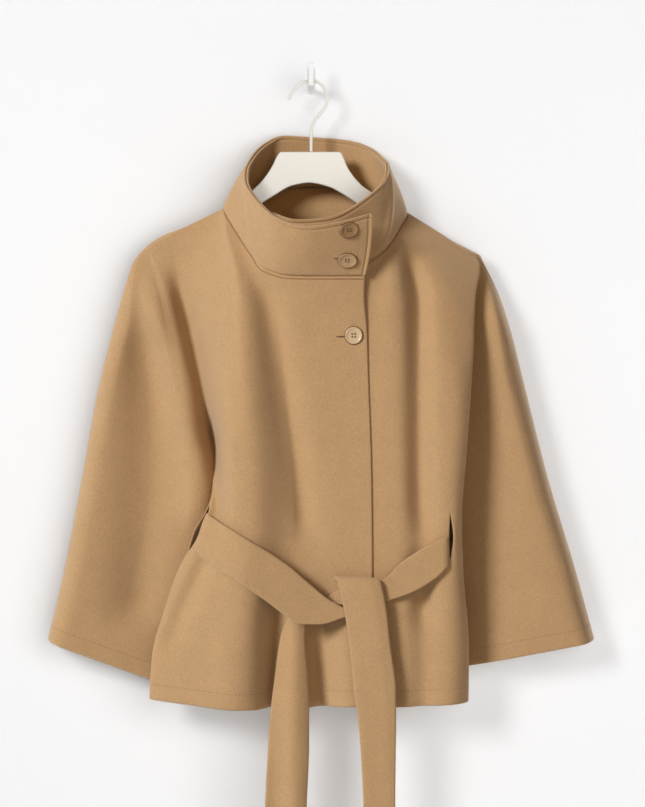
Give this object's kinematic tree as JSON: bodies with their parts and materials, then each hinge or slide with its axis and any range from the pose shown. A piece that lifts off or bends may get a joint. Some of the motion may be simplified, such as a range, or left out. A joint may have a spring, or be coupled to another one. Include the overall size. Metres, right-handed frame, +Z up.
{
  "type": "belted wool cape on a hanger with wall hook",
  "caption": "Wide-sleeved belted wool cape with a buttoned wrapped stand collar, hanging open at neck, cuffs and hem on a flat hanger and a small wall hook.",
  "frame": {"origin": "middle of the wall hook's flat back face, on the wall", "axes": "+Y into the wall, +Z up, +X to the viewer's right"},
  "size_m": [0.7198, 0.1481, 1.116],
  "materials": {
    "wool": "felted camel wool, matt with a short nap",
    "button": "tan, softly polished",
    "hanger_board": "cream satin paint",
    "hanger_wire": "cream satin",
    "wall_hook": "white satin"
  },
  "bodies": {
    "root": {"front_right": "wool", "front_left": "wool", "back": "wool", "collar_outer": "wool", "collar_facing": "wool", "belt_strand_left": "wool", "belt_strand_right": "wool", "belt_tail_left": "wool", "belt_tail_right": "wool", "belt_inside": "wool", "button_collar_upper": "button", "button_collar_lower": "button", "button_front": "button", "hanger_board": "hanger_board", "hanger_hook": "hanger_wire", "wall_hook": "wall_hook"}
  },
  "joints": []
}
